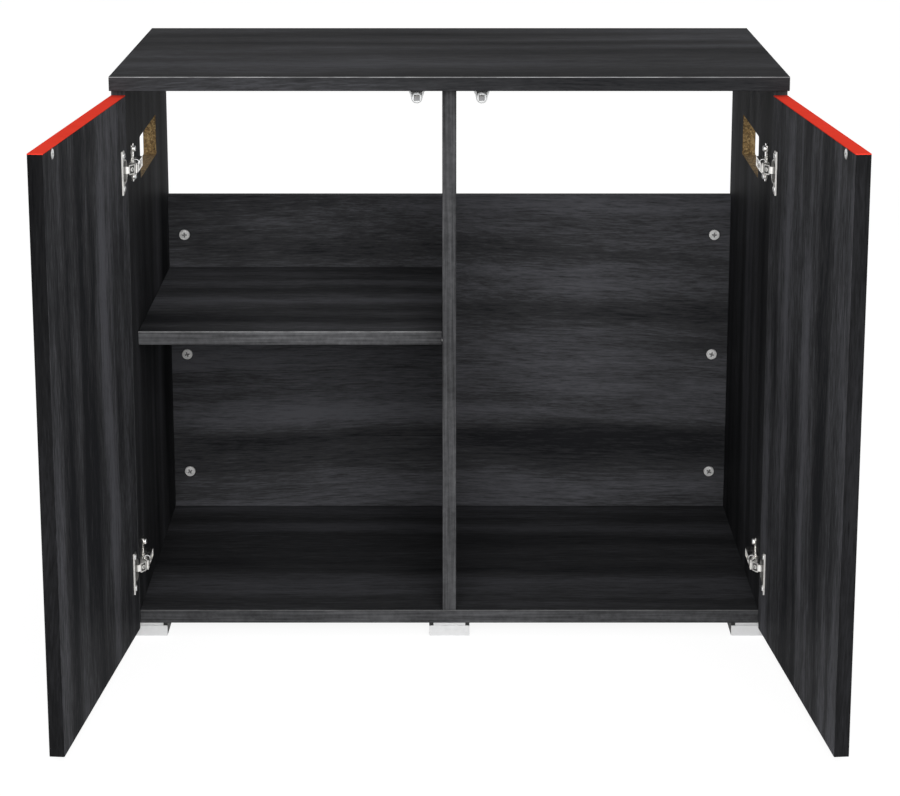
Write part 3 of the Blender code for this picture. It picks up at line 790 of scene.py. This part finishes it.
class STAND_OT_hinges(bpy.types.Operator):
    """Make the four concealed hinges: cups, links, arms and mounting plates, with all their screws"""

    bl_idname = "stand.hinges"
    bl_label = "Hinges"

    def execute(self, context):
        for side_name, side in SIDES.items():
            for height in HEIGHTS:
                hinge = f"{side_name}_{height}_hinge"
                self.cup(hinge, side_name, side)
                self.link(hinge, side_name)
                self.arm(hinge, side)
                self.mounting_plate(hinge, side)
        return {"FINISHED"}

    def pressed(self, node):
        return eased(copy_of(node), hardware().edge)

    def screws(self, node, body, heads, metal="steel"):
        """Keeps the screws of one part of a hinge, each head with its place, as one piece; the dark nickel in their
        cross recesses is painted shade.
        """
        keep(f"{node}_screws", joined(*heads), body, [metal, "nickel_dark"])

    def cup(self, hinge, side_name, side):
        """The cup's flange has a rib along its outer edge, bright with a painted highlight, and a screw near each
        end; the rest of the flange takes a darkened nickel, as painted shade.
        """
        node, door = f"{hinge}_cup", f"{side_name}_door"
        low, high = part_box(node)
        middle_z, half = (low.z + high.z) / 2, (high.z - low.z) / 2
        stand = door_place(side)
        rib, web = (
            eased(slab((start, DOOR_SEAT, middle_z - half), (end, DOOR_SEAT + rise, middle_z + half)), 0.0003)
            for start, end, rise in (CUP_RIB, CUP_WEB)
        )
        paint(rib.faces, 2)
        whole = joined((self.pressed(node), HERE), (rib, stand), (web, stand))
        finishes = ["nickel_flange", "nickel_dark", "nickel_bright"]
        keep(f"{node}_pressing", whole, door, finishes, (node,))
        heads = []
        for end in (-1, 1):
            point = Vector((-CUP_SCREW_FROM_PIN, CUP_PIN_BELOW_FACE + FLANGE_TOP, middle_z + end * CUP_SCREW_RISE))
            head = screw_head(hardware().screw_radius, hardware().screw_rise)
            heads.append((head, stand @ facing(point, (0, 1, 0), math.radians(20 + 50 * end))))
        self.screws(node, door, heads)

    def link(self, hinge, side_name):
        """The link's wide part is a shallow dish in painted shade between two lips bright with a painted highlight,
        with a rivet in its middle whose head takes the same painted highlight.
        """
        node = f"{hinge}_link"
        mesh = self.pressed(node)
        low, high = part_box(node)
        wide = []
        for face in mesh.faces:
            heights = [vert.co.z for vert in face.verts]
            tall = max(heights) - min(heights) > (high.z - low.z) * 0.9
            if tall and face.normal.y < -0.2 and face.calc_area() > 5.0e-6:
                wide.append(face)
        area = sum(face.calc_area() for face in wide)
        centre = sum((face.calc_center_median() * face.calc_area() for face in wide), Vector()) / area
        normal = sum((face.normal * face.calc_area() for face in wide), Vector()).normalized()
        lips = bmesh.ops.inset_region(
            mesh, faces=wide, thickness=LINK_LIP, depth=-LINK_SINK, use_even_offset=True
        )["faces"]
        paint(wide, 1)
        rivet = screw_head(0.0026, 0.0006, 0.0002)
        paint(lips + [face for face in rivet.faces if face.material_index == 0], 2)
        place = facing(centre - normal * LINK_SINK, normal, math.radians(45))
        finishes = ["nickel_satin", "nickel_dark", "nickel_bright"]
        whole = joined((mesh, HERE), (rivet, place))
        keep(f"{node}_pressing", whole, f"{side_name}_links", finishes, (node,))

    def arm(self, hinge, side):
        """The arm is a channel that holds two screws, behind a nose with a screw and a spring."""
        node = f"{hinge}_arm"
        low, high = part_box(node)
        middle_x, middle_z = (low.x + high.x) / 2, (low.z + high.z) / 2
        mesh = copy_of(node)
        split = low.y + ARM_NOSE
        everything = mesh.verts[:] + mesh.edges[:] + mesh.faces[:]
        bmesh.ops.bisect_plane(mesh, geom=everything, plane_co=(0, split, 0), plane_no=(0, 1, 0), dist=WELD)
        tops = [face for face in mesh.faces if face.normal.x * -side > 0.9 and face.calc_center_median().y > split]
        top = max(tops, key=lambda face: face.calc_area())
        channel = top.calc_center_median().x + side * ARM_CHANNEL
        bmesh.ops.inset_region(mesh, faces=[top], thickness=ARM_LIP, use_even_offset=True)
        sunk = bmesh.ops.extrude_discrete_faces(mesh, faces=[top])["faces"]
        bmesh.ops.translate(mesh, verts=sunk[0].verts[:], vec=(side * ARM_CHANNEL, 0, 0))
        # The channel's floor takes the dark nickel: painted shade.
        sunk[0].material_index = 1
        paint([face for face in mesh.faces if face.normal.y < -0.9 and face.calc_area() > 2.0e-5], 2)
        eased(mesh, hardware().edge * 0.8, shortest=0.0005)
        finishes = ["nickel", "nickel_dark", "nickel_satin"]
        keep(f"{node}_channel", mesh, "root", finishes, (node,))

        heads = []
        for y, radius, rise in ((low.y + FRONT_SCREW, 0.0034, 0.0034), (high.y - REAR_SCREW, 0.0038, 0.0030)):
            point = Vector((channel, y, middle_z))
            heads.append((screw_head(radius, rise, 0.0004), facing(point, (-side, 0, 0), math.radians(25))))
        point = Vector((middle_x, low.y + NOSE_SCREW, middle_z))
        heads.append((screw_head(0.0027, 0.0016, 0.0010), facing(point, (0, -1, 0), math.radians(45))))
        self.screws(node, "root", heads, "bright_steel")

        wire = bmesh.new()
        bmesh.ops.create_circle(wire, cap_ends=True, segments=10, radius=SPRING_WIRE)
        bmesh.ops.translate(wire, verts=wire.verts, vec=(SPRING_RADIUS, 0, 0))
        half_turn = {"cent": (0, 0, 0), "axis": (0, -1, 0), "angle": math.radians(180), "steps": 14}
        bmesh.ops.spin(wire, geom=wire.faces[:], use_merge=False, **half_turn)
        bmesh.ops.remove_doubles(wire, verts=wire.verts, dist=WELD)
        bmesh.ops.recalc_face_normals(wire, faces=wire.faces)
        loop = Matrix.Translation((middle_x - side * 0.0004, low.y + 0.0100, high.z - 0.0002))
        keep(f"{node}_spring", joined((wire, loop)), "root", ["bright_steel"], smooth=60.0)

    def mounting_plate(self, hinge, side):
        """The plate has two screws, which hold it to the side board."""
        node = f"{hinge}_mounting_plate"
        low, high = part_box(node)
        middle_z = (low.z + high.z) / 2
        finishes = ["nickel", "nickel_dark"]
        keep(f"{node}_pressing", self.pressed(node), "root", finishes, (node,))
        wall = high.x if side > 0 else low.x
        heads = []
        for end in (-1, 1):
            rise = end * PLATE_SCREW_RISE
            point = Vector((wall - side * PLATE_THICK, low.y + PLATE_SCREW_BACK, middle_z + rise))
            head = screw_head(0.0037, 0.0017, 0.0010)
            heads.append((head, facing(point, (-side, 0, 0), math.radians(10 + 30 * end))))
        self.screws(node, "root", heads)


class STAND_OT_catches(bpy.types.Operator):
    """Make the magnetic catches under the top, and the round discs on the doors that they hold"""

    bl_idname = "stand.catches"
    bl_label = "Catches"

    def execute(self, context):
        for side_name, side in SIDES.items():
            housing, magnet = f"{side_name}_catch_housing", f"{side_name}_catch_magnet"
            self.housing(housing, magnet)
            self.magnet(magnet)
            self.disc(f"{side_name}_catch_disc", f"{side_name}_door", side)
        return {"FINISHED"}

    def housing(self, node, magnet):
        """A round case between two ribs, with a web in painted shade behind them and a plate under the top."""
        low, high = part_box(node)
        grip_low, grip_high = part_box(magnet)
        middle = (grip_low + grip_high) / 2
        radius, half, grip = middle.z - low.z, (high.x - low.x) / 2, (grip_high.x - grip_low.x) / 2
        profile = [
            (0.0, -CASE_LENGTH),
            (radius - 0.0004, -CASE_LENGTH),
            (radius, -CASE_LENGTH + 0.0004),
            (radius, -0.0006),
            (radius - 0.0004, -0.0001),
            (radius - 0.0010, 0.0),
            (radius * 0.80, 0.0),
        ]
        case = turned(profile, ROUND)
        recess(case, SQUARE, grip + 0.0003, 0.0030, taper=1.0)
        front = Vector((middle.x, low.y, middle.z))
        plate = eased(slab((low.x, low.y + CASE_LENGTH - 0.002, high.z - 0.0016), high), 0.0003)
        parts = [(case, facing(front, (0, -1, 0))), (plate, HERE)]

        # The ribs run from the plate's ends down to where they touch the case.
        drop = high.z - middle.z
        lean = math.atan2(drop, half) - math.acos(radius / math.hypot(half, drop))
        foot = Vector((math.cos(lean), math.sin(lean))) * (radius - 0.0004)
        corners = [(foot.x, foot.y), (half, drop), (half - RIB_TOP, drop), (foot.x - RIB_FOOT, foot.y + 0.0004)]
        for end in (-1, 1):
            rib = bmesh.new()
            line = [rib.verts.new((middle.x + end * x, low.y + 0.0012, middle.z + z)) for x, z in corners]
            made = bmesh.ops.extrude_face_region(rib, geom=[rib.faces.new(line)])
            bmesh.ops.translate(rib, verts=new_verts(made), vec=(0, CASE_LENGTH - 0.0020, 0))
            bmesh.ops.recalc_face_normals(rib, faces=rib.faces)
            parts.append((eased(rib, 0.0002, 1), HERE))

        web_low = (middle.x - half + 0.002, low.y + 0.0060, middle.z + 0.0030)
        web = slab(web_low, (middle.x + half - 0.002, low.y + 0.0072, high.z))
        for vert in web.verts:
            if vert.co.z < middle.z + 0.004:
                vert.co.x = middle.x + (vert.co.x - middle.x) * WEB_NARROW
        paint(web.faces, 1)
        parts.append((web, HERE))
        keep(f"{node}_moulding", joined(*parts), "root", ["milky", "milky_shadow"], (node,))

        inner, outer = 0.0052, 0.0059
        profile = [
            (inner, -0.0003),
            (inner, 0.0002),
            (inner + 0.0002, 0.0003),
            (outer - 0.0002, 0.0003),
            (outer, 0.0001),
            (outer, -0.0003),
        ]
        ring = joined((turned(profile), facing(front, (0, -1, 0))))
        keep(f"{node}_ring", ring, "root", ["milky_grey"])

    def magnet(self, node):
        """A block with a darker pole plate along its upper edge."""
        low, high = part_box(node)
        block = eased(slab(low, high), 0.0003)
        pole_low = (low.x + 0.0002, low.y - 0.0003, high.z - 0.0017)
        pole = eased(slab(pole_low, (high.x - 0.0002, high.y - 0.001, high.z - 0.0001)), 0.0001, 1)
        paint(pole.faces, 1)
        whole = joined((block, HERE), (pole, HERE))
        keep(f"{node}_block", whole, "root", ["magnet", "nickel_dark"], (node,))

    def disc(self, node, body, side):
        """A low domed disc on a thin dark washer."""
        low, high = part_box(node)
        middle = (low + high) / 2
        radius = (high.z - low.z) / 2
        stand = door_place(side)
        local = stand.inverted() @ middle
        washer = turned([(0.0, 0.0), (radius + 0.0010, 0.0), (radius + 0.0010, 0.0003), (radius * 0.8, 0.0003)])
        paint(washer.faces, 1)
        profile = [
            (0.0, 0.0002),
            (radius, 0.0002),
            (radius, DISC_RISE * 0.45),
            (radius * 0.94, DISC_RISE * 0.70),
            (radius * 0.82, DISC_RISE * 0.86),
            (radius * 0.62, DISC_RISE * 0.96),
            (radius * 0.40, DISC_RISE),
        ]
        mesh = turned(profile, ROUND)
        recess(mesh, CROSS, radius * 0.32, DISC_RISE * 0.6)
        point = Vector((local.x, DOOR_SEAT, local.z))
        whole = joined(
            (mesh, stand @ facing(point, (0, 1, 0), math.radians(30))),
            (washer, stand @ facing(point, (0, 1, 0))),
        )
        keep(f"{node}_plate", whole, body, ["bright_steel", "nickel_dark"], (node,))


class STAND_OT_feet(bpy.types.Operator):
    """Make the six feet: black blocks with silver covers"""

    bl_idname = "stand.feet"
    bl_label = "Feet"

    def execute(self, context):
        for row in ("front", "rear"):
            for place in ("left", "middle", "right"):
                foot = f"foot_{row}_{place}"
                node = f"{foot}_block"
                block = eased(copy_of(node), 0.0004)
                keep(f"{foot}_moulding", block, "root", ["black_plastic"], (node,), FACETED)
                node = f"{foot}_cover"
                cover = eased(copy_of(node), 0.0003)
                keep(f"{foot}_plate", cover, "root", ["silver"], (node,), FACETED)
        return {"FINISHED"}


class STAND_OT_shelf_pins(bpy.types.Operator):
    """Make the four pins that carry the shelf, each with a collar against the board"""

    bl_idname = "stand.shelf_pins"
    bl_label = "Shelf pins"

    def execute(self, context):
        faces = {"outer": (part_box("left_side_panel")[1].x, 1), "inner": (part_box("divider_panel")[0].x, -1)}
        for row in ("front", "rear"):
            for end, (wall, outwards) in faces.items():
                node = f"shelf_pin_{row}_{end}"
                low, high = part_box(node)
                radius = (high.z - low.z) / 2
                foot, tip = (low.x, high.x) if outwards > 0 else (high.x, low.x)
                buried, out = abs(wall - foot), abs(tip - wall)
                profile = [
                    (0.0, -buried),
                    (radius - 0.0003, -buried),
                    (radius, -buried + 0.0003),
                    (radius, 0.00002),
                    (radius + 0.0009, 0.00002),
                    (radius + 0.0009, 0.0007),
                    (radius, 0.0008),
                    (radius, out - 0.0007),
                    (radius - 0.0007, out),
                    (0.0, out),
                ]
                point = Vector((wall, (low.y + high.y) / 2, (low.z + high.z) / 2))
                pin = joined((turned(profile, ROUND), facing(point, (outwards, 0, 0))))
                keep(f"{node}_turned", pin, "root", ["steel"], (node,))
        return {"FINISHED"}


class STAND_OT_pins(bpy.types.Operator):
    """Give the pins in the hinge cups their nickel finish"""

    bl_idname = "stand.pins"
    bl_label = "Hinge pins"

    def execute(self, context):
        for side_name in SIDES:
            for height in HEIGHTS:
                pin = frame["nodes"][f"{side_name}_{height}_hinge_cup_pin"]
                pin.data.materials.clear()
                pin.data.materials.append(finish("nickel"))
        return {"FINISHED"}


# ---------------------------------------------------------------- stage


KEY_PLACE, KEY_SIZE = (0.15, -3.6, 1.80), (3.4, 2.0)
FILL_PLACE, FILL_SIZE = (0.6, -0.6, 3.2), (2.8, 2.0)
FLOOR_RADIUS = 14.0
FLOOR_GLOW, FLOOR_LIFT = 1.26, 0.72  # brightness of the white that the floor fades to, and how far it fades
LENS_SHIFT = -0.12
PLAIN_WHITE = (1, 1, 1, 1)


def stage_light(name, power, location, size, target):
    data = bpy.data.lights.new(name, "AREA")
    data.energy, data.shape, data.size, data.size_y = power, "RECTANGLE", *size
    lamp = bpy.data.objects.new(name, data)
    bpy.context.scene.collection.objects.link(lamp)
    lamp.location = location
    lamp.rotation_euler = (Vector(target) - Vector(location)).to_track_quat("-Z", "Y").to_euler()
    return lamp


def seen_directly(recipe):
    """One for what the camera sees, straight or in metal or glass, and none for light that only falls on things."""
    kinds = ("Camera", "Glossy", "Transmission")
    straight, mirrored, through = (recipe.node("ShaderNodeLightPath", output=f"Is {kind} Ray") for kind in kinds)
    return straight + mirrored + through > 0.5


class STAND_OT_stage(bpy.types.Operator):
    """Make the floor, the soft lights, the white surroundings and the camera"""

    bl_idname = "stand.stage"
    bl_label = "Stage"

    def execute(self, context):
        scene, stage = context.scene, context.scene.stand_stage
        floor = bmesh.new()
        bmesh.ops.create_circle(floor, cap_ends=True, radius=FLOOR_RADIUS, segments=96)
        data = bpy.data.meshes.new("floor")
        floor.to_mesh(data)
        floor.free()
        ground = bpy.data.objects.new("floor", data)
        scene.collection.objects.link(ground)
        ground.location.z = CAD_BOX[0][2] - 0.0002
        recipe = Recipe("pale_floor")
        matt = recipe.node("ShaderNodeBsdfDiffuse", None, {"Color": (*stage.floor, 1.0)})
        glow = recipe.node("ShaderNodeEmission", None, {"Color": PLAIN_WHITE, "Strength": FLOOR_GLOW})
        lifted = seen_directly(recipe) * FLOOR_LIFT
        recipe.node_out(recipe.node("ShaderNodeMixShader", None, {0: lifted, 1: matt, 2: glow}))
        data.materials.append(recipe.material)

        stage_light("key", stage.key, KEY_PLACE, KEY_SIZE, (0.0, 0.0, 0.33))
        stage_light("fill", stage.fill, FILL_PLACE, FILL_SIZE, (0.0, 0.1, 0.5))

        world = bpy.data.worlds.new("surroundings")
        recipe = Recipe("surroundings", world)
        light = recipe.node("ShaderNodeBackground", None, {"Color": PLAIN_WHITE, "Strength": stage.sky})
        white = recipe.node("ShaderNodeBackground", None, {"Color": PLAIN_WHITE, "Strength": 1.0})
        mixed = recipe.node("ShaderNodeMixShader", None, {0: seen_directly(recipe), 1: light, 2: white})
        recipe.node_out(mixed, "ShaderNodeOutputWorld")
        scene.world = world
        scene.view_settings.view_transform = "Standard"

        camera = bpy.data.objects.new("camera", bpy.data.cameras.new("camera"))
        scene.collection.objects.link(camera)
        camera.data.lens, camera.data.sensor_width = stage.lens, 36.0
        camera.data.shift_y = LENS_SHIFT
        camera.location = (0.0008, -stage.distance, stage.height)
        camera.rotation_euler = (math.pi / 2 - stage.pitch, 0, 0)
        scene.camera = camera
        return {"FINISHED"}


STEPS = (
    STAND_OT_boards,
    STAND_OT_sides,
    STAND_OT_doors,
    STAND_OT_cams,
    STAND_OT_hinges,
    STAND_OT_pins,
    STAND_OT_catches,
    STAND_OT_feet,
    STAND_OT_shelf_pins,
    STAND_OT_stage,
)


class STAND_PT_panel(bpy.types.Panel):
    """The steps that make the stand, and the sizes and colours that they use"""

    bl_label = "Aquarium stand"
    bl_idname = "STAND_PT_panel"
    bl_space_type = "VIEW_3D"
    bl_region_type = "UI"
    bl_category = "Aquarium stand"

    def draw(self, context):
        column = self.layout.column(align=True)
        for step in STEPS:
            column.operator(step.bl_idname)
        for name, group in GROUPS.items():
            box = self.layout.box()
            for setting in group.__annotations__:
                box.prop(getattr(context.scene, name), setting)


def register():
    for group in (*GROUPS.values(), *STEPS, STAND_PT_panel):
        bpy.utils.register_class(group)
    for name, group in GROUPS.items():
        setattr(bpy.types.Scene, name, PointerProperty(type=group))


def unregister():
    for name in GROUPS:
        delattr(bpy.types.Scene, name)
    for group in reversed((*GROUPS.values(), *STEPS, STAND_PT_panel)):
        bpy.utils.unregister_class(group)


def main():
    register()
    for step in STEPS:
        family, name = step.bl_idname.split(".")
        if getattr(getattr(bpy.ops, family), name)() != {"FINISHED"}:
            raise RuntimeError(f"{step.bl_label} couldn't be made")


if __name__ == "__main__":
    main()
